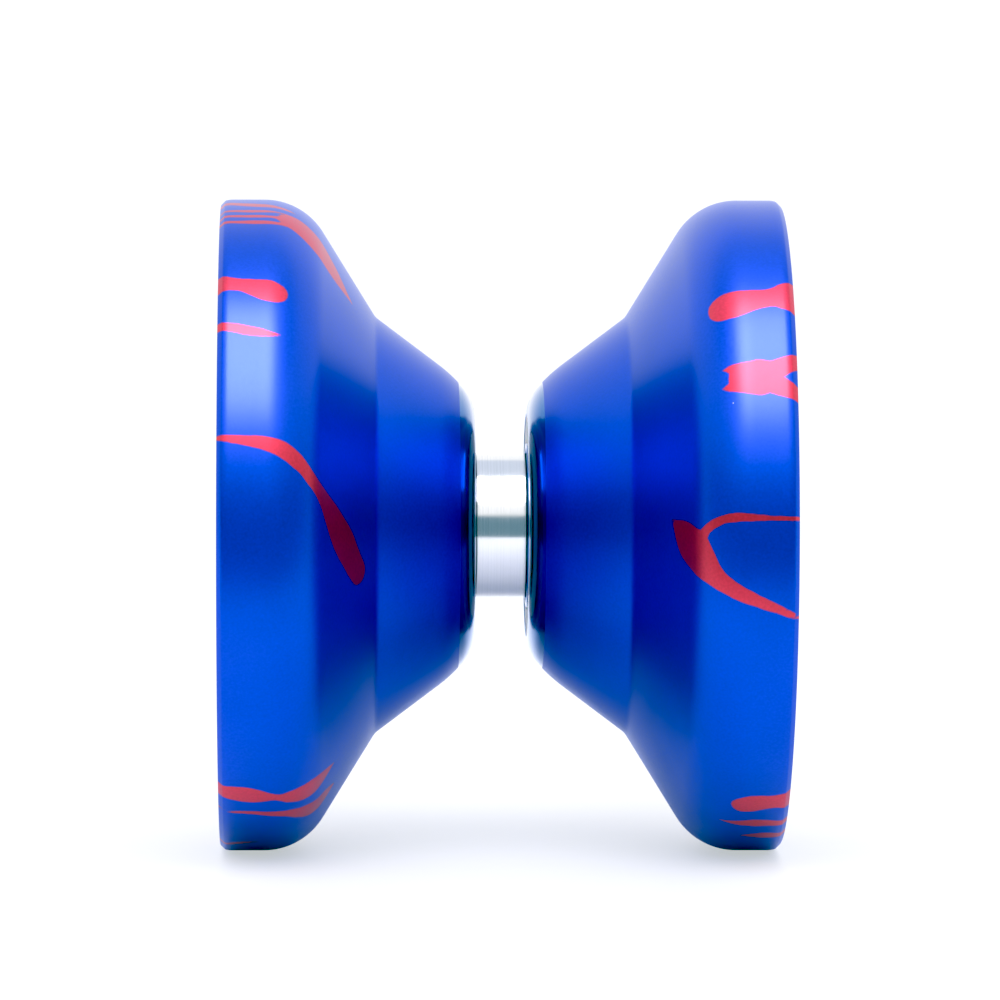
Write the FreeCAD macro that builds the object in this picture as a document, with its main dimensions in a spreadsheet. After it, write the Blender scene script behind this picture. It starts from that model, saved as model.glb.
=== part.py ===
"""Unresponsive ball-bearing yo-yo: two identical aluminium halves on a set-screw axle.

Millimetres. The origin is the middle of the string gap on the axle's axis, +X runs along the axle
towards the right half and +Z is up. Each half's own frame is the same: its X is the distance from
the middle of the gap, so the left half is the right one turned half a turn about Z.
"""
import FreeCAD, Part
import os
import re
import Sketcher

DIMENSIONS = {
    # the whole yo-yo
    "yoyo_diameter": 56.9,
    "yoyo_width": 48.8,
    "gap_width": 4.52,
    # inner lip beside the string: a polished quarter-round, then a soft crown onto the cone
    "lip_crown_radius": 3.9,
    "lip_crown_centre": 9.5,
    "lip_edge_radius": 12.5,
    "crown_radius": 13.9,
    "cone_start_depth": 5.4,
    "cone_start_radius": 14.05,
    # catch zone: cone, concave step and flank
    "cone_angle": 36.87,
    "step_depth": 10.93,
    "step_fillet": 1.5,
    "flank_angle": 58.28,
    # rim
    "shoulder_radius": 6.0,
    "rim_ease_length": 0.6,
    "rim_ease_drop": 0.09,
    "rim_ease_radius": 2.0,
    "rim_chamfer": 0.4,
    # cup in the outer side
    "cup_mouth_radius": 24.8,
    "cup_mouth_chamfer": 0.5,
    "cup_shoulder_radius": 3.2,
    "wall_thickness": 2.2,
    "cup_floor_depth": 6.7,
    "cup_floor_fillet": 1.2,
    "hub_radius": 4.6,
    "hub_top_radius": 4.2,
    "hub_top_depth": 11.4,
    "hub_top_chamfer": 0.4,
    "hub_dimple_radius": 2.4,
    "hub_dimple_depth": 0.5,
    # response area around the bearing
    "pad_groove_outer": 9.8,
    "pad_groove_inner": 7.2,
    "pad_groove_depth": 3.5,
    "recess_radius": 6.85,
    "recess_depth": 2.76,
    "seat_shoulder_radius": 4.05,
    "post_radius": 3.16,
    "post_end_depth": 0.15,
    "post_chamfer": 0.25,
    "bore_diameter": 4.02,
    "bore_depth": 8.1,
    "bore_tip_angle": 59.0,
    # response pads
    "pad_outer": 9.74,
    "pad_inner": 7.26,
    "pad_face_depth": 2.34,
    "pad_edge_round": 0.12,
    # axle set screw
    "axle_diameter": 4.0,
    "axle_length": 15.0,
    "axle_end_chamfer": 0.5,
    "socket_flats": 2.0,
    "socket_depth": 2.4,
    "cup_point_radius": 1.0,
    "cup_point_depth": 0.4,
    # ball bearing, 1/4 x 1/2 x 3/16 inch
    "bearing_bore": 6.35,
    "bearing_outer": 12.7,
    "bearing_width": 4.7625,
    "race_corner": 0.3,
    "race_land_inner": 4.25,
    "race_land_outer": 5.28,
    "shield_step_radius": 5.72,
    "shield_step_depth": 0.62,
    "ring_groove_radius": 5.9,
    "ring_groove_depth": 0.12,
    "ring_groove_width": 0.3,
    "pitch_radius": 4.7625,
    "ball_diameter": 1.5875,
    "ball_clearance": 0.015,
    "raceway_radius": 0.84,
    "ball_count": 8,
    # cage, shields and snap rings
    "cage_inner": 4.42,
    "cage_outer": 5.12,
    "cage_width": 2.3,
    "cage_edge_round": 0.1,
    "pocket_diameter": 1.7,
    "shield_inner": 4.33,
    "shield_outer": 5.7,
    "shield_thickness": 0.17,
    "shield_bend_radius": 4.9,
    "shield_bend_depth": 0.12,
    "ring_wire": 0.26,
    "ring_centre_radius": 5.74,
    "ring_span": 335.0,
}

doc = FreeCAD.newDocument("yoyo")
sheet = doc.addObject("Spreadsheet::Sheet", "sheet")
for row, (alias, size) in enumerate(DIMENSIONS.items(), start=1):
    sheet.set(f"A{row}", alias)
    sheet.set(f"B{row}", str(size))
    sheet.setAlias(f"B{row}", alias)
doc.recompute()


def bound(formula):
    """The formula with the sheet's name put before each of its dimensions."""
    return re.sub(r"[a-z_]+", lambda word: f"sheet.{word[0]}" if word[0] in DIMENSIONS else word[0], formula)


def value(formula):
    """The formula's present value as a plain number."""
    result = sheet.evalExpression(bound(formula))
    return float(getattr(result, "Value", result))


def origin_feature(body, role):
    """One of the body's own origin planes or axes."""
    return next(feature for feature in body.Origin.OriginFeatures if feature.Role == role)


def new_body(name, turned=False):
    """An empty body; a turned one faces the other way along the axle."""
    body = doc.addObject("PartDesign::Body", name)
    body.Label = name
    if turned:
        body.Placement = FreeCAD.Placement(FreeCAD.Vector(), FreeCAD.Rotation(FreeCAD.Vector(0, 0, 1), 180))
    return body


def pin(sketch, number, place, formulas):
    """Hold one vertex at (depth, radius); a formula of "0" puts it on that axis."""
    for kind, other_axis, formula in zip(("DistanceX", "DistanceY"), (-2, -1), formulas):
        if formula == "0":
            sketch.addConstraint(Sketcher.Constraint("PointOnObject", number, place, other_axis))
            continue
        size = value(formula)
        held = sketch.addConstraint(Sketcher.Constraint(kind, -1, 1, number, place, size))
        sketch.setExpression(f"Constraints[{held}]", bound(formula))


def outline(body, name, stations):
    """A closed outline of half the section, in the plane that holds the axis.

    A station is (depth, radius), each a formula of the sheet's dimensions, and a straight edge runs
    from it to the next. A third entry, a radius, makes that edge an arc that bulges to the left of
    its direction of travel, and a fourth, "right", turns the bulge to the right.
    """
    sketch = body.newObject("Sketcher::SketchObject", name)
    sketch.AttachmentSupport = (origin_feature(body, "XY_Plane"), [""])
    sketch.MapMode = "FlatFace"
    corners = [FreeCAD.Vector(value(s[0]), value(s[1]), 0) for s in stations]
    edges = []
    for index, station in enumerate(stations):
        start = corners[index]
        end = corners[(index + 1) % len(corners)]
        if len(station) == 2:
            edges.append((sketch.addGeometry(Part.LineSegment(start, end), False), 1, 2))
            continue
        radius = value(station[2])
        chord = end - start
        rise = radius - (radius ** 2 - chord.Length ** 2 / 4) ** 0.5
        bulge = FreeCAD.Vector(-chord.y, chord.x, 0).normalize() * rise
        on_right = len(station) == 4
        middle = (start + end) / 2 + (bulge * -1 if on_right else bulge)
        number = sketch.addGeometry(Part.Arc(start, middle, end), False)
        edges.append((number, 1, 2) if on_right else (number, 2, 1))
        held = sketch.addConstraint(Sketcher.Constraint("Radius", number, radius))
        sketch.setExpression(f"Constraints[{held}]", bound(station[2]))
    for index, (number, _, last) in enumerate(edges):
        following, first, _ = edges[(index + 1) % len(edges)]
        sketch.addConstraint(Sketcher.Constraint("Coincident", number, last, following, first))
    for (number, first, _), station in zip(edges, stations):
        pin(sketch, number, first, station[:2])
    sketch.Visibility = False
    return sketch


def revolve(body, name, stations, angle=None):
    """Turn an outline about the axle's axis into a solid."""
    sketch = outline(body, f"{name}_outline", stations)
    feature = body.newObject("PartDesign::Revolution", name)
    feature.Profile = sketch
    feature.ReferenceAxis = (origin_feature(body, "X_Axis"), [""])
    if angle:
        feature.setExpression("Angle", bound(angle))
    doc.recompute()


def remove(body, feature, before):
    """Recompute, and make sure that the feature took material away."""
    doc.recompute()
    if body.Shape.Volume > before - 1e-3:
        raise RuntimeError(f"{body.Label}: {feature.Label} removed nothing")


def groove(body, name, stations):
    """Turn an outline about the axle's axis out of the body."""
    before = body.Shape.Volume
    sketch = outline(body, f"{name}_outline", stations)
    feature = body.newObject("PartDesign::Groove", name)
    feature.Profile = sketch
    feature.ReferenceAxis = (origin_feature(body, "X_Axis"), [""])
    remove(body, feature, before)


# Stations that several outlines share, as formulas of the sheet's dimensions.
FACE = "gap_width / 2"
RIM = "yoyo_width / 2"
RADIUS = "yoyo_diameter / 2"
SIDE = "bearing_width / 2"
STEP_RADIUS = "(cone_start_radius + (step_depth - cone_start_depth) * tan(cone_angle))"
STEP_TANGENT = "step_fillet * tan((flank_angle - cone_angle) / 2)"
FLANK_END = f"(step_depth + ({RADIUS} - {STEP_RADIUS}) / tan(flank_angle))"
SHOULDER_TANGENT = "shoulder_radius * tan(flank_angle / 2)"
INNER_STEP = (
    "(step_depth + wall_thickness * (1 / cos(flank_angle) - 1 / cos(cone_angle))"
    " / (tan(flank_angle) - tan(cone_angle)))"
)
CUP_CORNER = (
    f"(step_depth + (cup_mouth_radius - {STEP_RADIUS} + wall_thickness / cos(flank_angle))"
    " / tan(flank_angle))"
)
CUP_TANGENT = "cup_shoulder_radius * tan(flank_angle / 2)"
FLOOR_TANGENT = "cup_floor_fillet * tan((90 - cone_angle) / 2)"


def inner_cone(depth):
    """Radius of the cup's conical floor at a depth, one wall's thickness inside the outer cone."""
    return f"({STEP_RADIUS} + ({depth} - step_depth) * tan(cone_angle) - wall_thickness / cos(cone_angle))"


def turn_outside(body):
    """The half as turned from bar: post, lip, cone, flank, shoulder and rim."""
    lip_edge = (
        f"{FACE} + lip_crown_radius"
        " - sqrt(lip_crown_radius ^ 2 - (lip_edge_radius - lip_crown_centre) ^ 2)"
    )
    revolve(body, "outside", [
        ("post_end_depth", "0"),
        ("post_end_depth", "post_radius - post_chamfer"),
        ("post_end_depth + post_chamfer", "post_radius"),
        (FACE, "post_radius"),
        (FACE, "lip_crown_centre", "lip_crown_radius"),
        (lip_edge, "lip_edge_radius", "crown_radius"),
        ("cone_start_depth", "cone_start_radius"),
        (f"step_depth - {STEP_TANGENT} * cos(cone_angle)",
         f"{STEP_RADIUS} - {STEP_TANGENT} * sin(cone_angle)", "step_fillet", "right"),
        (f"step_depth + {STEP_TANGENT} * cos(flank_angle)",
         f"{STEP_RADIUS} + {STEP_TANGENT} * sin(flank_angle)"),
        (f"{FLANK_END} - {SHOULDER_TANGENT} * cos(flank_angle)",
         f"{RADIUS} - {SHOULDER_TANGENT} * sin(flank_angle)", "shoulder_radius"),
        (f"{FLANK_END} + {SHOULDER_TANGENT}", RADIUS),
        (f"{RIM} - rim_chamfer - rim_ease_length", RADIUS, "rim_ease_radius"),
        (f"{RIM} - rim_chamfer", f"{RADIUS} - rim_ease_drop"),
        (RIM, f"{RADIUS} - rim_ease_drop - rim_chamfer"),
        (RIM, "0"),
    ])


def hollow_cup(body):
    """The cup in the outer side, with the hub that holds the axle standing up from its floor."""
    floor_corner = inner_cone("cup_floor_depth")
    groove(body, "cup", [
        (RIM, "0"),
        (RIM, "cup_mouth_radius + cup_mouth_chamfer"),
        (f"{RIM} - cup_mouth_chamfer", "cup_mouth_radius"),
        (f"{CUP_CORNER} + {CUP_TANGENT}", "cup_mouth_radius", "cup_shoulder_radius", "right"),
        (f"{CUP_CORNER} - {CUP_TANGENT} * cos(flank_angle)",
         f"cup_mouth_radius - {CUP_TANGENT} * sin(flank_angle)"),
        (INNER_STEP, inner_cone(INNER_STEP)),
        (f"cup_floor_depth + {FLOOR_TANGENT} * cos(cone_angle)",
         f"{floor_corner} + {FLOOR_TANGENT} * sin(cone_angle)", "cup_floor_fillet", "right"),
        ("cup_floor_depth", f"{floor_corner} - {FLOOR_TANGENT}"),
        ("cup_floor_depth", "hub_radius + cup_floor_fillet", "cup_floor_fillet", "right"),
        ("cup_floor_depth + cup_floor_fillet", "hub_radius"),
        ("hub_top_depth - hub_top_chamfer", "hub_top_radius"),
        ("hub_top_depth", "hub_top_radius - hub_top_chamfer"),
        ("hub_top_depth", "hub_dimple_radius"),
        ("hub_top_depth - hub_dimple_depth", "0"),
    ])


def cut_response_area(body):
    """The recess that the bearing runs in, around its seat, and the groove for the pad."""
    groove(body, "bearing_recess", [
        ("post_end_depth", "post_radius"),
        (SIDE, "post_radius"),
        (SIDE, "seat_shoulder_radius"),
        ("recess_depth", "seat_shoulder_radius"),
        ("recess_depth", "recess_radius"),
        ("post_end_depth", "recess_radius"),
    ])
    groove(body, "pad_groove", [
        ("post_end_depth", "pad_groove_inner"),
        ("pad_groove_depth", "pad_groove_inner"),
        ("pad_groove_depth", "pad_groove_outer"),
        ("post_end_depth", "pad_groove_outer"),
    ])


def drill_axle_bore(body):
    """The blind bore for the axle, with the drill's tip at its end."""
    groove(body, "axle_bore", [
        ("post_end_depth", "0"),
        ("post_end_depth", "bore_diameter / 2"),
        ("bore_depth", "bore_diameter / 2"),
        ("bore_depth + bore_diameter / 2 / tan(bore_tip_angle)", "0"),
    ])


def make_half(name, turned):
    """One machined half, post inwards and cup outwards."""
    body = new_body(name, turned)
    turn_outside(body)
    hollow_cup(body)
    cut_response_area(body)
    drill_axle_bore(body)
    return body


def make_response_pad(name, turned):
    """Flat silicone ring, glued to the floor of the pad groove, its face's edges softened."""
    body = new_body(name, turned)
    revolve(body, "ring", [
        ("pad_groove_depth", "pad_inner"),
        ("pad_face_depth + pad_edge_round", "pad_inner", "pad_edge_round"),
        ("pad_face_depth", "pad_inner + pad_edge_round"),
        ("pad_face_depth", "pad_outer - pad_edge_round", "pad_edge_round"),
        ("pad_face_depth + pad_edge_round", "pad_outer"),
        ("pad_groove_depth", "pad_outer"),
    ])
    return body


def make_axle_screw():
    """Set screw with a cup point at one end and a hexagon socket at the other."""
    body = new_body("axle_screw")
    end = "axle_length / 2"
    shank = "axle_diameter / 2"
    revolve(body, "shank", [
        (f"cup_point_depth - {end}", "0"),
        (f"0 - {end}", "cup_point_radius"),
        (f"0 - {end}", f"{shank} - axle_end_chamfer"),
        (f"axle_end_chamfer - {end}", shank),
        (f"{end} - axle_end_chamfer", shank),
        (end, f"{shank} - axle_end_chamfer"),
        (end, "0"),
    ])
    sketch = body.newObject("Sketcher::SketchObject", "socket_outline")
    sketch.AttachmentSupport = (origin_feature(body, "YZ_Plane"), [""])
    sketch.MapMode = "FlatFace"
    sketch.setExpression("AttachmentOffset.Base.z", bound(end))
    corners = [
        (f"socket_flats / 2 / cos(30) * cos({angle})", f"socket_flats / 2 / cos(30) * sin({angle})")
        for angle in range(30, 390, 60)
    ]
    # The two corners on the section's middle line are held there, not at a distance of nought.
    corners = [("0" if abs(value(x)) < 1e-9 else x, y) for x, y in corners]
    vertices = [FreeCAD.Vector(value(x), value(y), 0) for x, y in corners]
    for start, following in zip(vertices, vertices[1:] + vertices[:1]):
        sketch.addGeometry(Part.LineSegment(start, following), False)
    for side in range(6):
        sketch.addConstraint(Sketcher.Constraint("Coincident", side, 2, (side + 1) % 6, 1))
        pin(sketch, side, 1, corners[side])
    before = body.Shape.Volume
    feature = body.newObject("PartDesign::Pocket", "socket")
    feature.Profile = sketch
    feature.setExpression("Length", bound("socket_depth"))
    sketch.Visibility = False
    remove(body, feature, before)
    return body


def make_outer_race():
    """Outer ring of the bearing: raceway inside, and a step with a ring groove at each end."""
    body = new_body("bearing_outer_race")
    outside = "bearing_outer / 2"
    centre = "(pitch_radius + ball_diameter / 2 + ball_clearance - raceway_radius)"
    groove_half = f"sqrt(raceway_radius ^ 2 - (race_land_outer - {centre}) ^ 2)"
    step = f"({SIDE} - shield_step_depth)"
    near = f"({SIDE} - ring_groove_depth)"
    far = f"({SIDE} - ring_groove_depth - ring_groove_width)"
    revolve(body, "ring", [
        (f"0 - {SIDE}", f"{outside} - race_corner", "race_corner"),
        (f"race_corner - {SIDE}", outside),
        (f"{SIDE} - race_corner", outside, "race_corner"),
        (SIDE, f"{outside} - race_corner"),
        (SIDE, "shield_step_radius"),
        (near, "shield_step_radius"),
        (near, "ring_groove_radius"),
        (far, "ring_groove_radius"),
        (far, "shield_step_radius"),
        (step, "shield_step_radius"),
        (step, "race_land_outer"),
        (groove_half, "race_land_outer", "raceway_radius", "right"),
        (f"0 - {groove_half}", "race_land_outer"),
        (f"0 - {step}", "race_land_outer"),
        (f"0 - {step}", "shield_step_radius"),
        (f"0 - {far}", "shield_step_radius"),
        (f"0 - {far}", "ring_groove_radius"),
        (f"0 - {near}", "ring_groove_radius"),
        (f"0 - {near}", "shield_step_radius"),
        (f"0 - {SIDE}", "shield_step_radius"),
    ])
    return body


def make_inner_race():
    """Inner ring of the bearing, which sits on the two posts."""
    body = new_body("bearing_inner_race")
    inside = "bearing_bore / 2"
    centre = "(pitch_radius - ball_diameter / 2 - ball_clearance + raceway_radius)"
    groove_half = f"sqrt(raceway_radius ^ 2 - ({centre} - race_land_inner) ^ 2)"
    revolve(body, "ring", [
        (f"0 - {SIDE}", f"{inside} + race_corner"),
        (f"0 - {SIDE}", "race_land_inner"),
        (f"0 - {groove_half}", "race_land_inner", "raceway_radius", "right"),
        (groove_half, "race_land_inner"),
        (SIDE, "race_land_inner"),
        (SIDE, f"{inside} + race_corner", "race_corner", "right"),
        (f"{SIDE} - race_corner", inside),
        (f"race_corner - {SIDE}", inside, "race_corner", "right"),
    ])
    return body


def make_cage():
    """Ring that spaces the balls, with a round pocket for each."""
    body = new_body("bearing_cage")
    half = "cage_width / 2"
    revolve(body, "ring", [
        (f"0 - {half}", "cage_inner"),
        (f"0 - {half}", "cage_outer - cage_edge_round", "cage_edge_round"),
        (f"cage_edge_round - {half}", "cage_outer"),
        (f"{half} - cage_edge_round", "cage_outer", "cage_edge_round"),
        (half, "cage_outer - cage_edge_round"),
        (half, "cage_inner"),
    ])
    sketch = body.newObject("Sketcher::SketchObject", "pocket_outline")
    sketch.AttachmentSupport = (origin_feature(body, "XY_Plane"), [""])
    sketch.MapMode = "FlatFace"
    circle = Part.Circle(FreeCAD.Vector(), FreeCAD.Vector(0, 0, 1), value("pocket_diameter / 2"))
    number = sketch.addGeometry(circle, False)
    sketch.addConstraint(Sketcher.Constraint("Coincident", number, 3, -1, 1))
    held = sketch.addConstraint(Sketcher.Constraint("Diameter", number, value("pocket_diameter")))
    sketch.setExpression(f"Constraints[{held}]", bound("pocket_diameter"))
    sketch.Visibility = False
    before = body.Shape.Volume
    pocket = body.newObject("PartDesign::Pocket", "pocket")
    pocket.Profile = sketch
    pocket.Reversed = True
    pocket.setExpression("Length", bound("cage_outer * 2"))
    remove(body, pocket, before)
    one_pocket = before - body.Shape.Volume
    pattern = body.newObject("PartDesign::PolarPattern", "pockets")
    pattern.Originals = [pocket]
    pattern.Axis = (origin_feature(body, "X_Axis"), [""])
    pattern.Angle = 360
    pattern.setExpression("Occurrences", bound("ball_count"))
    body.Tip = pattern
    doc.recompute()
    if abs(before - body.Shape.Volume - one_pocket * value("ball_count")) > 0.01:
        raise RuntimeError("the cage lacks pockets")
    return body


def make_ball(number):
    """One steel ball, in its pocket on the pitch circle; the first is at the top."""
    ball = doc.addObject("Part::Sphere", f"ball_{number}")
    ball.Label = f"ball_{number}"
    ball.setExpression("Radius", bound("ball_diameter / 2"))
    turned = bound(f"360 * {number - 1} / ball_count")
    ball.setExpression("Placement.Base.y", bound("pitch_radius") + f" * sin({turned})")
    ball.setExpression("Placement.Base.z", bound("pitch_radius") + f" * cos({turned})")
    return ball


def make_shield(name, turned):
    """Thin pressed washer that closes one side of the bearing, dished a little inwards."""
    body = new_body(name, turned)
    seat = f"({SIDE} - shield_step_depth + 0.01)"
    revolve(body, "washer", [
        (f"{seat} - shield_bend_depth", "shield_inner"),
        (f"{seat} - shield_bend_depth", "shield_bend_radius"),
        (seat, "race_land_outer"),
        (seat, "shield_outer"),
        (f"{seat} + shield_thickness", "shield_outer"),
        (f"{seat} + shield_thickness", "race_land_outer"),
        (f"{seat} + shield_thickness - shield_bend_depth", "shield_bend_radius"),
        (f"{seat} + shield_thickness - shield_bend_depth", "shield_inner"),
    ])
    return body


def make_snap_ring(name, turned):
    """Open wire ring that holds the shield in the outer race."""
    body = new_body(name, turned)
    middle = f"({SIDE} - ring_groove_depth - ring_groove_width / 2)"
    wire = "ring_wire / 2"
    revolve(body, "wire", [
        (f"{middle} - {wire}", "ring_centre_radius", wire),
        (f"{middle} + {wire}", "ring_centre_radius", wire),
    ], angle="ring_span")
    return body


parts = [
    make_half("left_half", True),
    make_half("right_half", False),
    make_response_pad("left_response_pad", True),
    make_response_pad("right_response_pad", False),
    make_axle_screw(),
    make_outer_race(),
    make_inner_race(),
    make_cage(),
    make_shield("left_bearing_shield", True),
    make_shield("right_bearing_shield", False),
    make_snap_ring("left_snap_ring", True),
    make_snap_ring("right_snap_ring", False),
]
for ball_number in range(1, DIMENSIONS["ball_count"] + 1):
    parts.append(make_ball(ball_number))

doc.recompute()
for item in doc.Objects:
    if {"Invalid", "Error"} & set(item.State):
        raise RuntimeError(f"{item.Label} did not recompute: {item.State}")
for part in parts:
    if part.Shape.isNull() or not part.Shape.isValid() or len(part.Shape.Solids) != 1:
        raise RuntimeError(f"{part.Label} is not one valid solid")

os.makedirs("parts", exist_ok=True)
for part in parts:
    part.Shape.exportStep(f"parts/{part.Label}.step")
    print(f"{part.Label:24s} {part.Shape.Volume:10.3f} mm3")
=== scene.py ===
"""Looks of the ball-bearing yo-yo: blue anodised halves with red splashes, on a white studio table.

Lengths are metres in the part's own frame: X along the axle, Z up, origin in the middle of the gap.
Outlines are (depth, radius) pairs in millimetres, depth being the distance from the middle of the gap.
"""
import math

import bmesh
import bpy
import numpy as np
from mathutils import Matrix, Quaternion, Vector


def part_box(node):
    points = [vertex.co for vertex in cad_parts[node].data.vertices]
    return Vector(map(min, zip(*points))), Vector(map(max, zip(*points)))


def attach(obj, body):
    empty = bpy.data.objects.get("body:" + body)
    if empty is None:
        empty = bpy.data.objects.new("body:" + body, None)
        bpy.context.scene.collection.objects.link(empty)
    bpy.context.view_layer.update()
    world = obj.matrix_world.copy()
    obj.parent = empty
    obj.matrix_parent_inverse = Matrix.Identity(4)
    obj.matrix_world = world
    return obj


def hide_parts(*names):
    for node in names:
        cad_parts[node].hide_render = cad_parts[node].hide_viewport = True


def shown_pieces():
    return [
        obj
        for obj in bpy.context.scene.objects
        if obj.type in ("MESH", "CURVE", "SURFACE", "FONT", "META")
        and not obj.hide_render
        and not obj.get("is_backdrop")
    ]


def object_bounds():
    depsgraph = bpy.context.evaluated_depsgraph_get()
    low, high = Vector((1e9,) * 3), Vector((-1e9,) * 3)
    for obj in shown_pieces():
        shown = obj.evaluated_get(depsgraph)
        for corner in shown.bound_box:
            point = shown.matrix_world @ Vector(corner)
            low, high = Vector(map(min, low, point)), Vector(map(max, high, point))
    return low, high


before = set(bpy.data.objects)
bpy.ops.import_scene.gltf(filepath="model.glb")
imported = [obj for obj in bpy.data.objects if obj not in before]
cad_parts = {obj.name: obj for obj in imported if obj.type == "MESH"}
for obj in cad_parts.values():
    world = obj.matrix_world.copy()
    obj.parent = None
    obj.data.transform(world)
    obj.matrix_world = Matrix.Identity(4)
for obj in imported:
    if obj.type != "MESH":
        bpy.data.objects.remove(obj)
cad_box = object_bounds()

MM = 0.001
RADIUS = cad_box[1].z / MM
RIM = cad_box[1].x / MM
BEARING_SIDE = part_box("bearing_outer_race")[1].x / MM
BEARING_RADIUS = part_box("bearing_outer_race")[1].z / MM
PAD_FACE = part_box("right_response_pad")[0].x / MM
PAD_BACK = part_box("right_response_pad")[1].x / MM
PAD_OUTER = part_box("right_response_pad")[1].z / MM
POST_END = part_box("right_half")[0].x / MM

# The half's section. The CAD model has the same sizes, and the frame holds it only as a mesh, so
# they are given again here. Where one name holds several sizes, those along the axle come first and
# radii last.
FACE = 2.26
LIP_RADIUS = 3.9
LIP_CENTRE = 9.5
LIP_EDGE = 12.5
CROWN_RADIUS = 13.9
CONE_START = (5.4, 14.05)
CONE_ANGLE = math.radians(36.87)
STEP_DEPTH = 10.93
STEP_FILLET = 1.5
FLANK_ANGLE = math.radians(58.28)
SHOULDER_RADIUS = 6.0
RIM_EASE = (0.6, 0.09, 2.0)
RIM_CHAMFER = 0.4
CUP_MOUTH = 24.8
CUP_CHAMFER = 0.5
CUP_SHOULDER = 3.2
WALL = 2.2
CUP_FLOOR = 6.7
FLOOR_FILLET = 1.2
HUB_RADIUS = 4.6
HUB_TOP = (11.4, 4.2)
HUB_CHAMFER = 0.4
HUB_DIMPLE = (0.5, 2.4)
GROOVE = (3.5, 7.2, 9.8)
RECESS = (2.76, 6.85)
SEAT_SHOULDER = 4.05
POST_RADIUS = 3.16
POST_CHAMFER = 0.25
BORE_RADIUS = 2.01
BORE_DEPTH = 8.1
BORE_TIP = math.radians(59)

# The outer race and the pads. Unlike the CAD model's, this race has no grooves for the snap rings, the
# pads' edges are rounded 0.1 and not 0.12, and the ball clearance is 0.01 and not 0.015.
RACE_CORNER = 0.3
RACE_LAND = 5.28
RACEWAY_RADIUS = 0.84
PITCH_RADIUS = 4.7625
BALL_RADIUS = 0.79375
BALL_CLEARANCE = 0.01
SHIELD_STEP = (0.62, 5.72)
PAD_INNER = 7.26
PAD_ROUND = 0.1

# Meshes: how far a sharp corner is cut back, the turn in degrees that counts as sharp when it is
# rounded and when it is shaded, the segments round the axle and the lengths of the outline's steps.
EDGE_BREAK = 0.07
SHARP_TURN = 16
SHARP_SHADING = 40
SEGMENTS = 420
RACE_SEGMENTS = 300
PAD_SEGMENTS = 240
FINE_STEP = 0.38
CUP_STEP = 0.6
COARSE_STEP = 2.5
RACE_STEP = 0.25
PAD_STEP = 0.3

# Places in the list of a half's stations.
RIM_STATION = 9
FIRST_CUP_STATION = 10
CUP_WALL_END = 16
LAST_CUP_STATION = 22

# A vertex is counted as this far from any splash until one is found nearer, in millimetres.
FAR = 9.0


# ---------------------------------------------------------------- outlines and turned meshes

def arc_points(start, end, radius, on_right, step):
    """Points from start up to end, not included, along an arc that bulges left, or right."""
    start, end = np.array(start), np.array(end)
    chord = end - start
    length = np.hypot(*chord)
    left = np.array((-chord[1], chord[0])) / length
    if on_right:
        left = -left
    height = math.sqrt(max(radius ** 2 - length ** 2 / 4, 0.0))
    centre = (start + end) / 2 - left * height
    half_turn = math.asin(min(length / 2 / radius, 1.0))
    count = max(4, math.ceil(2 * half_turn * radius / step), math.ceil(math.degrees(half_turn) / 3))
    points = []
    for k in range(count):
        turn = half_turn * (2 * k / count - 1)
        points.append(centre + radius * (left * math.cos(turn) + chord / length * math.sin(turn)))
    return points


def outline(stations, steps):
    """The stations' closed outline as points about a step apart, with small breaks at its corners.

    A station is (depth, radius), or (depth, radius, arc) or (depth, radius, arc, "right") where the
    edge that leaves it is an arc of that radius. Each point comes with the station it follows.
    """
    count = len(stations)
    points, owners = [], []
    for index, station in enumerate(stations):
        start = np.array(station[:2], float)
        end = np.array(stations[(index + 1) % count][:2], float)
        if len(station) > 2:
            run = arc_points(start, end, station[2], len(station) == 4, steps[index])
        else:
            on_axis = start[1] < 1e-6 and end[1] < 1e-6
            pieces = 1 if on_axis else max(1, math.ceil(np.hypot(*(end - start)) / steps[index]))
            run = [start + (end - start) * k / pieces for k in range(pieces)]
        points += run
        owners += [index] * len(run)
    return break_corners(points, owners)


def break_corners(points, owners):
    """Replace each sharp corner off the axis by a short round of three points."""
    kept, kept_owners = [], []
    for index, here in enumerate(points):
        before = points[index - 1]
        after = points[(index + 1) % len(points)]
        back, ahead = before - here, after - here
        back_length, ahead_length = np.hypot(*back), np.hypot(*ahead)
        cosine = -(back @ ahead) / (back_length * ahead_length)
        if cosine > math.cos(math.radians(SHARP_TURN)) or here[1] < 0.01:
            kept.append(here)
            kept_owners.append(owners[index])
            continue
        reach = min(EDGE_BREAK, back_length * 0.4, ahead_length * 0.4)
        first = here + back / back_length * reach
        last = here + ahead / ahead_length * reach
        for share in (0.0, 0.5, 1.0):
            bent = first * (1 - share) ** 2 + here * 2 * share * (1 - share) + last * share ** 2
            kept.append(bent)
            kept_owners.append(owners[index] if share > 0.4 else owners[index - 1])
    return kept, kept_owners


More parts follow.
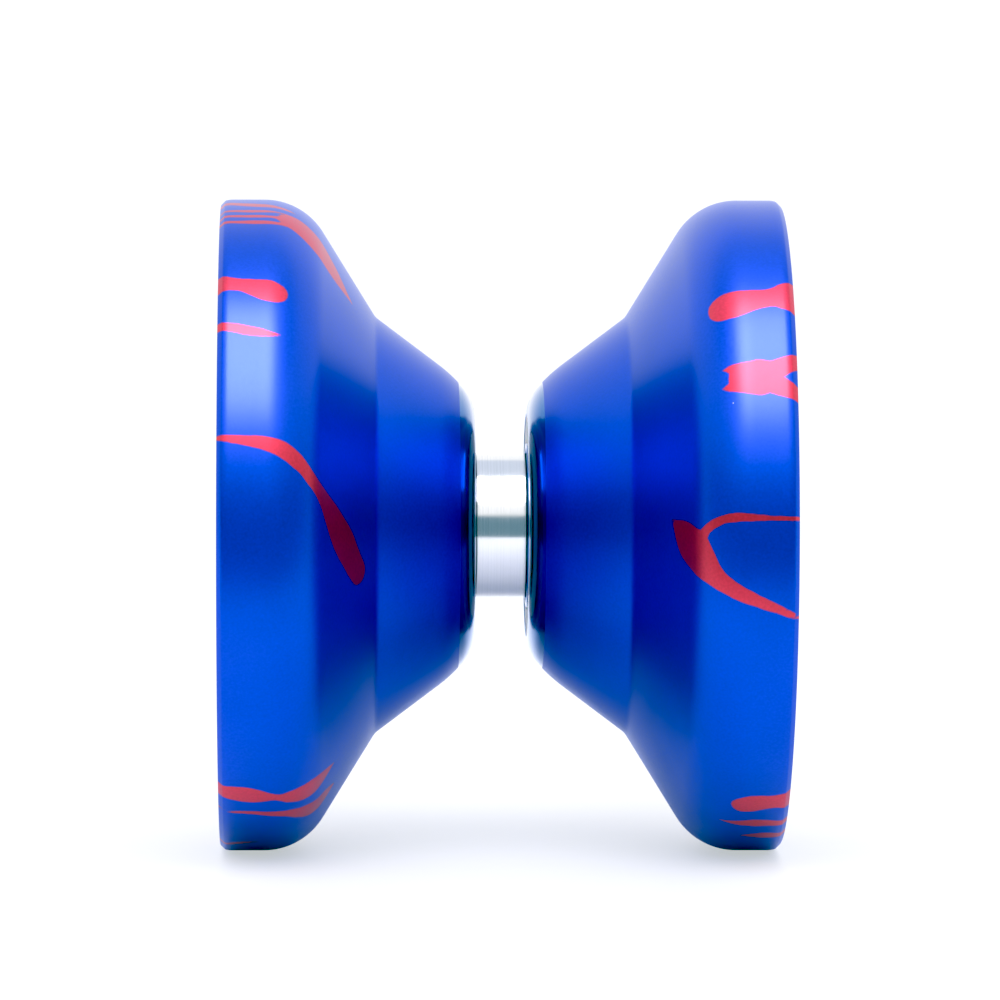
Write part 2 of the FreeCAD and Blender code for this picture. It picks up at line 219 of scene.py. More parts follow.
def turned(name, stations, segments, steps, side=1):
    """A solid of revolution about X from a closed outline; side -1 faces it the other way.

    Returns the object, the station that each face's edge of the outline follows, and the same for
    each vertex.
    """
    points, owners = outline(stations, steps)
    vertex_owners = []
    rings = []
    vertices = []
    angles = np.arange(segments) * 2 * math.pi / segments
    for (depth, radius), owner in zip(points, owners):
        if radius < 1e-6:
            rings.append([len(vertices)])
            vertices.append((side * depth * MM, 0.0, 0.0))
            vertex_owners.append(owner)
            continue
        rings.append(list(range(len(vertices), len(vertices) + segments)))
        vertex_owners += [owner] * segments
        for angle in angles:
            vertices.append((side * depth * MM,
                             -radius * MM * math.cos(angle), radius * MM * math.sin(angle)))
    faces, face_owners = [], []
    for index, ring in enumerate(rings):
        following = rings[(index + 1) % len(rings)]
        if len(ring) == 1 and len(following) == 1:
            continue
        for k in range(segments):
            after = (k + 1) % segments
            corners = [ring[k % len(ring)], ring[after % len(ring)],
                       following[after % len(following)], following[k % len(following)]]
            faces.append(list(dict.fromkeys(corners)))
            face_owners.append(owners[index])
    mesh = bpy.data.meshes.new(name)
    mesh.from_pydata(vertices, [], faces)
    bm = bmesh.new()
    bm.from_mesh(mesh)
    bmesh.ops.recalc_face_normals(bm, faces=bm.faces)
    bm.to_mesh(mesh)
    bm.free()
    mesh.polygons.foreach_set("use_smooth", [True] * len(mesh.polygons))
    mesh.set_sharp_from_angle(angle=math.radians(SHARP_SHADING))
    piece = bpy.data.objects.new(name, mesh)
    bpy.context.scene.collection.objects.link(piece)
    return piece, np.array(face_owners), np.array(vertex_owners)


def half_stations():
    """The section of a half, from the end of its post round its outside and back down its cup."""
    tan_cone, tan_flank = math.tan(CONE_ANGLE), math.tan(FLANK_ANGLE)
    step_radius = CONE_START[1] + (STEP_DEPTH - CONE_START[0]) * tan_cone
    step_reach = STEP_FILLET * math.tan((FLANK_ANGLE - CONE_ANGLE) / 2)
    flank_end = STEP_DEPTH + (RADIUS - step_radius) / tan_flank
    shoulder_reach = SHOULDER_RADIUS * math.tan(FLANK_ANGLE / 2)
    lip_edge = FACE + LIP_RADIUS - math.sqrt(LIP_RADIUS ** 2 - (LIP_EDGE - LIP_CENTRE) ** 2)
    groove_lip = FACE + LIP_RADIUS - math.sqrt(LIP_RADIUS ** 2 - (GROOVE[2] - LIP_CENTRE) ** 2)
    ease_length, ease_drop, ease_radius = RIM_EASE

    def along(angle, reach):
        return np.array((math.cos(angle), math.sin(angle))) * reach

    step = np.array((STEP_DEPTH, step_radius))
    corner = np.array((flank_end, RADIUS))
    outside = [
        (groove_lip, GROOVE[2], LIP_RADIUS),
        (lip_edge, LIP_EDGE, CROWN_RADIUS),
        CONE_START,
        (*(step - along(CONE_ANGLE, step_reach)), STEP_FILLET, "right"),
        tuple(step + along(FLANK_ANGLE, step_reach)),
        (*(corner - along(FLANK_ANGLE, shoulder_reach)), SHOULDER_RADIUS),
        (flank_end + shoulder_reach, RADIUS),
        (RIM - RIM_CHAMFER - ease_length, RADIUS, ease_radius),
        (RIM - RIM_CHAMFER, RADIUS - ease_drop),
        (RIM, RADIUS - ease_drop - RIM_CHAMFER),
    ]
    inner_step_depth = STEP_DEPTH + WALL * (1 / math.cos(FLANK_ANGLE) - 1 / math.cos(CONE_ANGLE)) / (
        tan_flank - tan_cone)
    cup_corner_depth = STEP_DEPTH + (CUP_MOUTH - step_radius + WALL / math.cos(FLANK_ANGLE)) / tan_flank

    def inner_cone(depth):
        return step_radius + (depth - STEP_DEPTH) * tan_cone - WALL / math.cos(CONE_ANGLE)

    cup_reach = CUP_SHOULDER * math.tan(FLANK_ANGLE / 2)
    cup_corner = np.array((cup_corner_depth, CUP_MOUTH))
    floor_reach = FLOOR_FILLET * math.tan((math.pi / 2 - CONE_ANGLE) / 2)
    floor_corner = np.array((CUP_FLOOR, inner_cone(CUP_FLOOR)))
    cup = [
        (RIM, CUP_MOUTH + CUP_CHAMFER),
        (RIM - CUP_CHAMFER, CUP_MOUTH),
        (cup_corner_depth + cup_reach, CUP_MOUTH, CUP_SHOULDER, "right"),
        tuple(cup_corner - along(FLANK_ANGLE, cup_reach)),
        (inner_step_depth, inner_cone(inner_step_depth)),
        (*(floor_corner + along(CONE_ANGLE, floor_reach)), FLOOR_FILLET, "right"),
        (CUP_FLOOR, floor_corner[1] - floor_reach),
        (CUP_FLOOR, HUB_RADIUS + FLOOR_FILLET, FLOOR_FILLET, "right"),
        (CUP_FLOOR + FLOOR_FILLET, HUB_RADIUS),
        (HUB_TOP[0] - HUB_CHAMFER, HUB_TOP[1]),
        (HUB_TOP[0], HUB_TOP[1] - HUB_CHAMFER),
        (HUB_TOP[0], HUB_DIMPLE[1]),
        (HUB_TOP[0] - HUB_DIMPLE[0], 0.0),
    ]
    bore = [
        (BORE_DEPTH + BORE_RADIUS / math.tan(BORE_TIP), 0.0),
        (BORE_DEPTH, BORE_RADIUS),
        (POST_END, BORE_RADIUS),
    ]
    response = [
        (POST_END, POST_RADIUS - POST_CHAMFER),
        (POST_END + POST_CHAMFER, POST_RADIUS),
        (BEARING_SIDE, POST_RADIUS),
        (BEARING_SIDE, SEAT_SHOULDER),
        (RECESS[0], SEAT_SHOULDER),
        (RECESS[0], RECESS[1]),
        (FACE, RECESS[1]),
        (FACE, GROOVE[1]),
        (GROOVE[0], GROOVE[1]),
        (GROOVE[0], GROOVE[2]),
    ]
    return outside + cup + bore + response


# ---------------------------------------------------------------- splashes on the halves

# A run of colour is a few (depth, angle, half width) points: millimetres from the middle of the gap,
# degrees up from the side that faces the camera, and millimetres. A depth past the rim goes on over
# the rim's flat side. The places of the runs on the camera's side were measured on the photograph,
# then cut down to these few points and rounded. The rest are chance.

def drip(angle, reach, half, lean=0.0, neck=0.6, mouth=0.8):
    """A run that comes over the rim, narrows to a neck and swells to a round head."""
    widths = [(0.0, mouth), (0.15, neck + (mouth - neck) * 0.35), (0.35, neck),
              (0.6, neck + (1 - neck) * 0.4), (0.85, 1.0), (1.0, 0.93)]
    end = reach + half
    run = [(RIM + 1.5, angle, half * mouth * 1.1)]
    for share, width in widths:
        run.append((RIM - 0.2 + (end - RIM) * share, angle + lean * share ** 1.5, half * width))
    return run


def streak(angle, reach, half, lean=0.0):
    """A thin run that comes over the rim and tapers to a point."""
    return [(RIM + 1.0, angle, half * 0.8), (RIM - 0.5, angle, half * 0.8),
            ((RIM + reach) / 2, angle + lean * 0.5, half), (reach, angle + lean, 0.05)]


def fork(angle, spread, joint, reach, half):
    """Two prongs that come over the rim and meet in one broad patch with two short tips."""
    runs = [[(joint, angle, half), (reach + half, angle, half * 0.7)]]
    for way in (-1, 1):
        runs.append([(RIM + 1.0, angle + way * spread, half * 0.35),
                     (joint + half, angle + way * spread * 0.4, half * 0.5)])
        runs.append([(reach + half, angle + way * spread * 0.4, half * 0.35), (reach, angle + way * 2, 0.1)])
    return runs


LEFT_RUNS = [
    streak(82, 17.5, 0.7, lean=-3),
    streak(76, 17, 0.35),
    streak(73, 17, 0.35),
    streak(70, 17, 0.4),
    [(18, 73, 1.5), (15.5, 70, 2.0), (13, 66, 0.1)],
    drip(50, 18.5, 1.25, lean=-2),
    streak(40, 18.5, 0.5, lean=-2),
    [(24.5, 19, 0.25), (19, 17, 0.7), (16, 11, 0.6), (14, 2, 1.5), (12.5, -7, 1.1)],
    streak(-49, 19, 1.1, lean=-2),
    [(19.5, -51, 0.3), (16.5, -53, 1.2), (14.5, -54, 0.1)],
    [(24.5, -55, 0.2), (19, -57, 0.4), (16, -62, 1.1), (14.5, -64, 0.1)],
    streak(-72, 21, 0.4, lean=2),
]
RIGHT_RUNS = [
    drip(47, 17, 1.55, lean=-2, neck=0.65, mouth=1.1),
    *fork(30, 4, 21, 18, 1.7),
    [(14, 5, 0.1), (15.5, 0, 1.7), (18, -6, 0.8), (24.5, -12, 0.2)],
    [(15.5, 0, 0.4), (18, 5, 0.35), (24.5, 5, 0.2)],
    drip(-52, 19.5, 1.25, lean=-1, neck=0.8, mouth=1.0),
    streak(-60, 18.5, 0.65),
    streak(-66, 20.5, 0.7),
]


def smooth_run(run, step):
    """A run's points joined by a smooth curve, about a step apart, with widths that never go negative."""
    points = np.array(run, float)
    padded = np.vstack([2 * points[0] - points[1], points, 2 * points[-1] - points[-2]])
    curve = []
    for k in range(len(points) - 1):
        a, b, c, d = padded[k:k + 4]
        length = math.hypot(c[0] - b[0], math.radians(c[1] - b[1]) * RADIUS)
        for t in np.linspace(0, 1, max(3, math.ceil(length / step)), endpoint=False):
            curve.append(0.5 * (2 * b + (c - a) * t + (2 * a - 5 * b + 4 * c - d) * t ** 2
                                + (3 * b - a - 3 * c + d) * t ** 3))
    curve.append(points[-1])
    curve = np.array(curve)
    curve[:, 2] = np.maximum(curve[:, 2], 0.02)
    return curve


def surface_places(depths, angles, section, onto_rim):
    """Places in space of points at a depth and angle on a side of a half, given its section.

    Past the rim's depth they go over its flat side, inwards where onto_rim is -1 and outwards at 1.
    """
    over = np.maximum(depths - RIM, 0) * onto_rim
    radii = np.interp(np.minimum(depths, RIM), section[:, 0], section[:, 1]) + over
    turn = np.radians(angles)
    return np.stack([np.minimum(depths, RIM), -radii * np.cos(turn), radii * np.sin(turn)], axis=1)


def inside_runs(vertices, runs, section, onto_rim, step=0.3, blend=0.35, reach=3.5):
    """How far inside the runs of colour each vertex lies, in millimetres, negative outside.

    Runs nearer to each other than the blend flow together. A run changes only the vertices within
    reach of its box.
    """
    total = np.full(len(vertices), FAR)
    for run in runs:
        curve = smooth_run(run, step)
        places = surface_places(curve[:, 0], curve[:, 1], section, onto_rim)
        low = places.min(0) - reach
        high = places.max(0) + reach
        near = np.nonzero(((vertices > low) & (vertices < high)).all(1))[0]
        distance = np.full(len(near), FAR)
        for k in range(len(places) - 1):
            start, end = places[k], places[k + 1]
            way = end - start
            share = np.clip((vertices[near] - start) @ way / max(way @ way, 1e-9), 0, 1)
            gap = np.linalg.norm(vertices[near] - start - share[:, None] * way, axis=1)
            distance = np.minimum(distance, gap - (curve[k, 2] * (1 - share) + curve[k + 1, 2] * share))
        before = total[near]
        mix = np.clip(0.5 + 0.5 * (before - distance) / blend, 0, 1)
        total[near] = before * (1 - mix) + distance * mix - blend * mix * (1 - mix)
    return -total


def chance_runs(seed, first, last):
    """Drops and streaks that come over the rim on the sides the photograph doesn't show."""
    random = np.random.default_rng(seed)
    runs = []
    angle = first
    while angle < last:
        reach = random.uniform(12, 21)
        lean = random.uniform(-5, 5)
        if random.random() < 0.5:
            runs.append(drip(angle, reach, random.uniform(0.8, 1.5), lean))
        else:
            runs.append(streak(angle, reach, random.uniform(0.3, 0.7), lean * 1.6))
        angle += random.uniform(8, 22)
    return runs


def cup_runs(seed, outside, skipped=0.3):
    """Runs down the wall of a cup, from where the outside's runs come over the rim, less a share."""
    random = np.random.default_rng(seed)
    runs = []
    for run in outside:
        depth, angle, half = run[0]
        if depth < RIM or random.random() < skipped:
            continue
        reach = random.uniform(11, 21)
        lean = random.uniform(-8, 8)
        half = max(half, 0.5)
        bend = random.uniform(-2, 2)
        runs.append([
            (RIM + 1.8, angle, half),
            (RIM - 0.3, angle, half * 0.85),
            (RIM - 2.5, angle + bend, half * 0.6),
            ((RIM + reach) / 2, angle + lean * 0.5, half * 0.5),
            (reach + half, angle + lean * 0.8 + bend, half * 0.8),
            (reach, angle + lean, half * 0.9),
        ])
    return runs


# ---------------------------------------------------------------- materials

def new_material(name, values):
    """A material with these values on its shader's own sockets; returns it, its tree and the shader."""
    material = bpy.data.materials.new(name)
    material.use_nodes = True
    shader = material.node_tree.nodes["Principled BSDF"]
    for socket, value in values.items():
        shader.inputs[socket].default_value = value
    return material, material.node_tree, shader


def add(tree, kind, inputs, **settings):
    """A new node with its inputs linked or set, in order; returns its first output."""
    made = tree.nodes.new(kind)
    for key, value in settings.items():
        setattr(made, key, value)
    for socket, value in inputs.items():
        if isinstance(value, bpy.types.NodeSocket):
            tree.links.new(value, made.inputs[socket])
        else:
            made.inputs[socket].default_value = value
    return made.outputs[0]


def place(tree):
    """A point's place on the object, in metres."""
    return tree.nodes.new("ShaderNodeTexCoord").outputs["Object"]


def noise(tree, vector, size, detail=2.0):
    """Noise whose features are about a size across, in metres."""
    return add(tree, "ShaderNodeTexNoise", {"Vector": vector, "Scale": 1 / size, "Detail": detail})


def between(tree, value, low, high, out_low, out_high):
    """The value moved from one range to another, held at its ends."""
    return add(tree, "ShaderNodeMapRange", {"Value": value, "From Min": low, "From Max": high,
                                            "To Min": out_low, "To Max": out_high})


def math_node(tree, operation, first, second=0.0):
    return add(tree, "ShaderNodeMath", {0: first, 1: second}, operation=operation)


def mix_colours(tree, share, first, second):
    made = tree.nodes.new("ShaderNodeMix")
    made.data_type = "RGBA"
    for socket, value in ((made.inputs[0], share), (made.inputs[6], first), (made.inputs[7], second)):
        if isinstance(value, bpy.types.NodeSocket):
            tree.links.new(value, socket)
        else:
            socket.default_value = value
    return made.outputs[2]


def turning_lines(tree, spacing, by_depth, by_radius):
    """Noise that changes only along the axle and outwards, so that it draws rings round the axle."""
    parts = tree.nodes.new("ShaderNodeSeparateXYZ")
    tree.links.new(place(tree), parts.inputs[0])
    squares = math_node(tree, "ADD", math_node(tree, "POWER", parts.outputs["Y"], 2.0),
                        math_node(tree, "POWER", parts.outputs["Z"], 2.0))
    radius = math_node(tree, "SQRT", squares)
    along = math_node(tree, "MULTIPLY", parts.outputs["X"], by_depth)
    rings = add(tree, "ShaderNodeCombineXYZ",
                {"X": along, "Y": math_node(tree, "MULTIPLY", radius, by_radius)})
    return noise(tree, rings, spacing, 3.0)


def bumped(tree, shader, height, distance, strength):
    """Give the shader a bump whose full height is the distance, in metres."""
    normal = add(tree, "ShaderNodeBump", {"Height": height, "Distance": distance, "Strength": strength})
    tree.links.new(normal, shader.inputs["Normal"])


# Most of a noise's values lie between these.
NOISE_SPREAD = (0.3, 0.7)

# The anodised finish: sizes in millimetres, colours in linear light, dust edges as shares of the
# dust's spacing.
GRAIN_SIZE = 0.22
GRAIN_HEIGHT = 0.006
CLOUD_SIZE = 9
CLOUD_SHARE = 0.7
SHADE_RANGE = (0.55, 1.15)
SATIN_ROUGHNESS = (0.36, 0.44)
RAGGED_SIZE, RAGGED_REACH = 0.8, 0.02
WANDER_SIZE, WANDER_REACH = 3.5, 0.08
EDGE_SOFTNESS = 0.045
DARKER = 0.78
SEAM_COLOUR = (0.06, 0.02, 0.08, 1)
SEAM_SHARE = 0.9
DUST_SPACING = 7
DUST_EDGE = (0.006, 0.01)
DUST_SHARE = 0.6
DUST_COLOUR = (0.8, 0.82, 0.9, 1)
BLUE = (0.018, 0.050, 0.57, 1)
RED = (0.65, 0.026, 0.085, 1)


def anodised(name, blue, red):
    """Blasted and anodised aluminium: fine grain, slight clouds in the dye, splashes of a second dye."""
    material, tree, shader = new_material(name, {"Metallic": 0.88, "Coat Weight": 0.65,
                                                 "Coat Roughness": 0.3, "Coat IOR": 1.5,
                                                 "Specular Tint": (0.5, 0.55, 0.8, 1)})
    shader.distribution = "GGX"
    here = place(tree)
    grain = noise(tree, here, GRAIN_SIZE * MM, 3.0)
    cloud = noise(tree, here, CLOUD_SIZE * MM, 3.0)
    inside = tree.nodes.new("ShaderNodeAttribute")
    inside.attribute_name = "splash"
    ragged = between(tree, noise(tree, here, RAGGED_SIZE * MM), *NOISE_SPREAD,
                     -RAGGED_REACH, RAGGED_REACH)
    wander = between(tree, noise(tree, here, WANDER_SIZE * MM), *NOISE_SPREAD,
                     -WANDER_REACH, WANDER_REACH)
    edge = math_node(tree, "ADD", ragged, wander)
    mask = between(tree, math_node(tree, "ADD", inside.outputs["Fac"], edge),
                   -EDGE_SOFTNESS, EDGE_SOFTNESS, 0.0, 1.0)
    dark_blue = [part * DARKER for part in blue[:3]] + [1.0]
    dark_red = [part * DARKER for part in red[:3]] + [1.0]
    shade = between(tree, math_node(tree, "ADD", grain, math_node(tree, "MULTIPLY", cloud, CLOUD_SHARE)),
                    *SHADE_RANGE, 0.0, 1.0)
    blues = mix_colours(tree, shade, dark_blue, blue)
    reds = mix_colours(tree, shade, dark_red, red)
    seam = math_node(tree, "PINGPONG", mask, 0.5)
    dyed = mix_colours(tree, mask, blues, reds)
    colour = mix_colours(tree, math_node(tree, "MULTIPLY", seam, SEAM_SHARE), dyed, SEAM_COLOUR)
    dust = add(tree, "ShaderNodeTexVoronoi", {"Vector": here, "Scale": 1 / (DUST_SPACING * MM)})
    specks = between(tree, dust, *DUST_EDGE, DUST_SHARE, 0.0)
    tree.links.new(mix_colours(tree, specks, colour, DUST_COLOUR), shader.inputs["Base Color"])
    tree.links.new(between(tree, grain, *NOISE_SPREAD, *SATIN_ROUGHNESS), shader.inputs["Roughness"])
    bumped(tree, shader, grain, distance=GRAIN_HEIGHT * MM, strength=0.35)
    return material


def polished_anodised():
    """The lip and the response area: turned to a mirror before it was anodised."""
    material, tree, shader = new_material("polished_anodised", {"Metallic": 1.0, "Coat Weight": 0.5,
                                                                "Coat Roughness": 0.1, "Coat IOR": 1.5})
    lines = turning_lines(tree, 0.09 * MM, 1.0, 1.0)
    tree.links.new(mix_colours(tree, lines, (0.010, 0.085, 0.33, 1), (0.014, 0.105, 0.42, 1)),
                   shader.inputs["Base Color"])
    tree.links.new(between(tree, lines, *NOISE_SPREAD, 0.13, 0.19), shader.inputs["Roughness"])
    bumped(tree, shader, lines, distance=0.001 * MM, strength=0.3)
    return material


def metal(name, dark, light, roughness, line_gap):
    """Bright metal with fine turning lines and a slightly uneven finish."""
    material, tree, shader = new_material(name, {"Metallic": 1.0})
    lines = turning_lines(tree, line_gap, 1.0, 1.0)
    smudge = noise(tree, place(tree), 2 * MM, 3.0)
    tree.links.new(mix_colours(tree, lines, dark, light), shader.inputs["Base Color"])
    uneven = math_node(tree, "ADD", lines, smudge)
    tree.links.new(between(tree, uneven, 0.7, 1.3, roughness * 0.8, roughness * 1.25),
                   shader.inputs["Roughness"])
    bumped(tree, shader, lines, distance=0.004 * MM, strength=0.5)
    return material


def silicone():
    """Soft white silicone with a matt moulded skin."""
    material, tree, shader = new_material("white_silicone", {"Roughness": 0.55, "Subsurface Weight": 0.3,
                                                             "Subsurface Scale": 0.4 * MM, "IOR": 1.41})
    skin = noise(tree, place(tree), 0.12 * MM, 3.0)
    tree.links.new(mix_colours(tree, skin, (0.78, 0.79, 0.80, 1), (0.88, 0.88, 0.88, 1)),
                   shader.inputs["Base Color"])
    bumped(tree, shader, skin, distance=0.01 * MM, strength=0.4)
    return material


# ---------------------------------------------------------------- pieces

def make_half(name, side, runs, cup, materials):
    """One half, with how far inside a splash each vertex lies kept as an attribute."""
    stations = half_stations()
    steps = ([FINE_STEP] * FIRST_CUP_STATION + [CUP_STEP] * (CUP_WALL_END - FIRST_CUP_STATION)
             + [COARSE_STEP] * (len(stations) - CUP_WALL_END))
    piece, face_owners, owners = turned(f"{name}_shell", stations, SEGMENTS, steps, side)
    mesh = piece.data
    places = np.empty(len(mesh.vertices) * 3)
    mesh.vertices.foreach_get("co", places)
    places = places.reshape(-1, 3) / MM * (side, 1, 1)

    points, point_owners = outline(stations, steps)
    points, point_owners = np.array(points), np.array(point_owners)
    inside = np.full(len(places), -FAR)
    outer = owners < FIRST_CUP_STATION
    section = points[point_owners < RIM_STATION]
    inside[outer] = inside_runs(places[outer], runs, section[section[:, 0].argsort()], -1)
    cup_face = (owners >= RIM_STATION) & (owners < CUP_WALL_END)
    wall = points[(point_owners >= FIRST_CUP_STATION) & (point_owners < CUP_WALL_END)]
    in_cup = inside_runs(places[cup_face], cup, wall[wall[:, 0].argsort()], 1)
    inside[cup_face] = np.maximum(inside[cup_face], in_cup)
    mesh.attributes.new("splash", "FLOAT", "POINT").data.foreach_set("value", inside)

    for material in materials:
        mesh.materials.append(material)
    polished = (face_owners == 0) | (face_owners > LAST_CUP_STATION)
    mesh.polygons.foreach_set("material_index", polished.astype(int))
    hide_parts(name)
    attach(piece, "yoyo")
    return piece


def make_pad(name, side, material):
    """The silicone ring beside the gap."""
    stations = [
        (PAD_BACK, PAD_INNER),
        (PAD_FACE + PAD_ROUND, PAD_INNER, PAD_ROUND),
        (PAD_FACE, PAD_INNER + PAD_ROUND),
        (PAD_FACE, PAD_OUTER - PAD_ROUND, PAD_ROUND),
        (PAD_FACE + PAD_ROUND, PAD_OUTER),
        (PAD_BACK, PAD_OUTER),
    ]
    piece = turned(f"{name}_ring", stations, PAD_SEGMENTS, [PAD_STEP] * len(stations), side)[0]
    piece.data.materials.append(material)
    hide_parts(name)
    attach(piece, "yoyo")


def make_outer_race(material):
    """The bearing's outer ring, which the string turns on."""
    centre = PITCH_RADIUS + BALL_RADIUS + BALL_CLEARANCE - RACEWAY_RADIUS
    groove = math.sqrt(RACEWAY_RADIUS ** 2 - (RACE_LAND - centre) ** 2)
    step = BEARING_SIDE - SHIELD_STEP[0]
    stations = [
        (-BEARING_SIDE, BEARING_RADIUS - RACE_CORNER, RACE_CORNER),
        (RACE_CORNER - BEARING_SIDE, BEARING_RADIUS),
        (BEARING_SIDE - RACE_CORNER, BEARING_RADIUS, RACE_CORNER),
        (BEARING_SIDE, BEARING_RADIUS - RACE_CORNER),
        (BEARING_SIDE, SHIELD_STEP[1]),
        (step, SHIELD_STEP[1]),
        (step, RACE_LAND),
        (groove, RACE_LAND, RACEWAY_RADIUS, "right"),
        (-groove, RACE_LAND),
        (-step, RACE_LAND),
        (-step, SHIELD_STEP[1]),
        (-BEARING_SIDE, SHIELD_STEP[1]),
    ]
    piece = turned("brushed_outer_race", stations, RACE_SEGMENTS, [RACE_STEP] * len(stations))[0]
    piece.data.materials.append(material)
    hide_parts("bearing_outer_race")
    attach(piece, "bearing_outer")


def finish_node(node, material):
    """Put a material on a CAD node that stays in view."""
    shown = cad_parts[node]
    if not shown.material_slots:
        shown.data.materials.append(material)
    for material_slot in shown.material_slots:
        material_slot.material = material


# Between these angles, in degrees, the photograph shows nothing.
HIDDEN_FROM, HIDDEN_TO = 98, 262

shell = [anodised("satin_anodised", BLUE, RED), polished_anodised()]
left_runs = LEFT_RUNS + chance_runs(seed=11, first=HIDDEN_FROM, last=HIDDEN_TO)
right_runs = RIGHT_RUNS + chance_runs(seed=23, first=HIDDEN_FROM, last=HIDDEN_TO)
make_half("left_half", -1, left_runs, cup_runs(seed=5, outside=left_runs), shell)
make_half("right_half", 1, right_runs, cup_runs(seed=8, outside=right_runs), shell)
pad_material = silicone()
make_pad("left_response_pad", -1, pad_material)
make_pad("right_response_pad", 1, pad_material)
race_steel = metal("race_steel", (0.57, 0.585, 0.61, 1), (0.74, 0.75, 0.77, 1),
                   roughness=0.15, line_gap=0.12 * MM)
make_outer_race(race_steel)

finish_node("bearing_inner_race", race_steel)
finish_node("axle_screw", metal("axle_steel", (0.10, 0.10, 0.11, 1), (0.20, 0.20, 0.21, 1),
                                roughness=0.38, line_gap=0.2 * MM))
finish_node("bearing_cage", metal("cage_brass", (0.60, 0.42, 0.16, 1), (0.80, 0.60, 0.28, 1),
                                  roughness=0.3, line_gap=0.15 * MM))
shield_steel = metal("shield_steel", (0.50, 0.51, 0.53, 1), (0.66, 0.67, 0.69, 1),
                     roughness=0.3, line_gap=0.1 * MM)
spring_steel = metal("spring_steel", (0.30, 0.31, 0.33, 1), (0.48, 0.49, 0.51, 1),
                     roughness=0.3, line_gap=0.06 * MM)
for hand in ("left", "right"):
    finish_node(f"{hand}_bearing_shield", shield_steel)
    finish_node(f"{hand}_snap_ring", spring_steel)
ball_steel = metal("ball_steel", (0.72, 0.73, 0.75, 1), (0.84, 0.85, 0.86, 1),
                   roughness=0.08, line_gap=0.3 * MM)
for number in range(1, 9):
    finish_node(f"ball_{number}", ball_steel)


# ---------------------------------------------------------------- table, light and camera

def make_floor():
    """White table top that ends a little in front of the object, where the studio is dark."""
    front, reach = -0.106, 8.0
    level = cad_box[0].z
    mesh = bpy.data.meshes.new("table")
    mesh.from_pydata([(-reach, front, level), (reach, front, level), (reach, reach, level),
                      (-reach, reach, level)], [], [(0, 1, 2, 3)])
    table = bpy.data.objects.new("table", mesh)
    bpy.context.scene.collection.objects.link(table)
    material, tree, shader = new_material("white_table", {"Roughness": 0.6, "Specular IOR Level": 0.2,
                                                          "Emission Color": (0.96, 0.98, 1.0, 1)})
    seen = tree.nodes.new("ShaderNodeLightPath").outputs["Is Camera Ray"]
    paper = noise(tree, place(tree), 3 * MM, 3.0)
    shown = mix_colours(tree, paper, (0.34, 0.345, 0.35, 1), (0.36, 0.365, 0.37, 1))
    tree.links.new(mix_colours(tree, seen, (0.92, 0.93, 0.95, 1), shown), shader.inputs["Base Color"])
    tree.links.new(between(tree, seen, 0.0, 1.0, 0.02, 0.56), shader.inputs["Emission Strength"])
    mesh.materials.append(material)
    table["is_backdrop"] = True
    return table


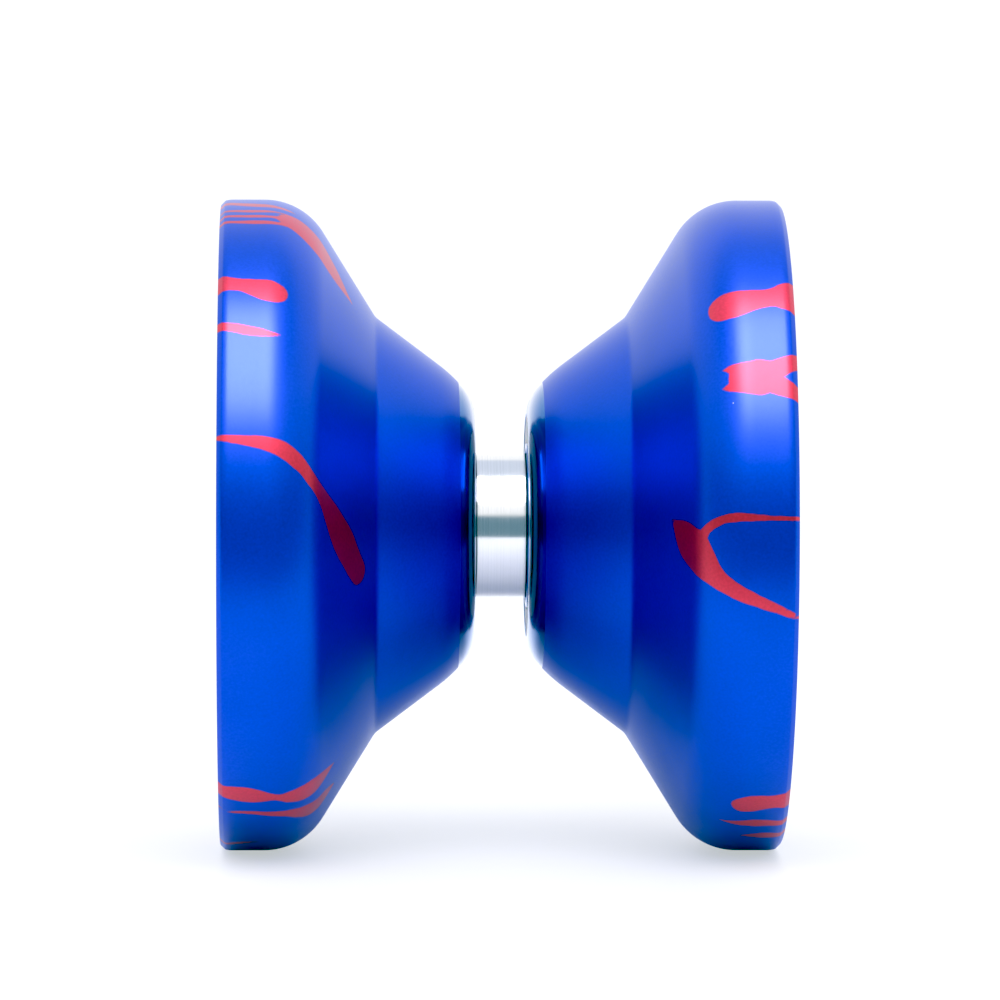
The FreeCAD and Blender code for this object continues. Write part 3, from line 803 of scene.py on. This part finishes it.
def make_world():
    """White studio, dimmer straight above, with the dark of the room low down in front of the table."""
    world = bpy.data.worlds.new("studio")
    bpy.context.scene.world = world
    world.use_nodes = True
    tree = world.node_tree
    direction = tree.nodes.new("ShaderNodeSeparateXYZ")
    tree.links.new(tree.nodes.new("ShaderNodeTexCoord").outputs["Generated"], direction.inputs[0])
    low = between(tree, direction.outputs["Z"], 0.28, 0.36, 1.0, 0.0)
    ahead = between(tree, direction.outputs["Y"], -0.35, -0.08, 1.0, 0.0)
    seen = tree.nodes.new("ShaderNodeLightPath").outputs["Is Camera Ray"]
    dark = math_node(tree, "MULTIPLY", math_node(tree, "MULTIPLY", low, ahead),
                     math_node(tree, "SUBTRACT", 1.0, seen))
    above = between(tree, direction.outputs["Z"], 0.72, 0.80, 0.0, 1.0)
    walls = mix_colours(tree, above, (1.0, 1.0, 1.0, 1), (0.68, 0.72, 0.84, 1))
    background = tree.nodes["Background"]
    tree.links.new(mix_colours(tree, dark, walls, (0.19, 0.26, 0.34, 1)),
                   background.inputs["Color"])
    background.inputs["Strength"].default_value = 1.40


def make_softbox(name, elevation, distance, size, energy, lit_objects, bounces):
    """A soft rectangular light in front of the object, aimed at its middle, that lights these objects."""
    light = bpy.data.lights.new(name, "AREA")
    light.shape = "RECTANGLE"
    light.size, light.size_y = size
    light.energy = energy
    light.cycles.max_bounces = bounces
    lamp = bpy.data.objects.new(name, light)
    lamp.location = (0, -distance * math.cos(elevation), distance * math.sin(elevation))
    lamp.rotation_euler = (-lamp.location).to_track_quat("-Z", "Y").to_euler()
    bpy.context.scene.collection.objects.link(lamp)
    lit = bpy.data.collections.new("lit_by_" + name)
    for lit_object in lit_objects:
        lit.objects.link(lit_object)
    lamp.light_linking.receiver_collection = lit


def make_camera():
    """A long lens a little above the axle, turned slightly on its own axis as the photograph is."""
    distance, elevation, aside = 0.600, math.radians(4), -0.015
    aim = Vector((0, 0, 0.0022))
    lens = bpy.data.cameras.new("camera")
    lens.sensor_width = 36
    lens.lens = 246.7
    lens.clip_start = 0.05
    camera = bpy.data.objects.new("camera", lens)
    camera.location = (aside, -distance * math.cos(elevation), distance * math.sin(elevation))
    look = (aim - camera.location).to_track_quat("-Z", "Y")
    camera.rotation_euler = (look @ Quaternion((0, 0, 1), math.radians(0.15))).to_euler()
    bpy.context.scene.collection.objects.link(camera)
    bpy.context.scene.camera = camera


# The level taken off each channel of the picture. Red loses most, because the photograph's deep blues
# have none.
BLACK_LEVEL = (0.062, 0.014, 0.045)

table = make_floor()
make_world()
make_softbox("softbox", elevation=math.radians(63), distance=0.40, size=(0.16, 0.31), energy=1.65,
             lit_objects=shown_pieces(), bounces=0)
make_softbox("table_light", elevation=math.radians(55), distance=0.50, size=(0.4, 0.4), energy=1.95,
             lit_objects=[table], bounces=8)
make_camera()
view = bpy.context.scene.view_settings
view.view_transform = "Standard"
view.use_curve_mapping = True
view.curve_mapping.black_level = BLACK_LEVEL
view.curve_mapping.update()
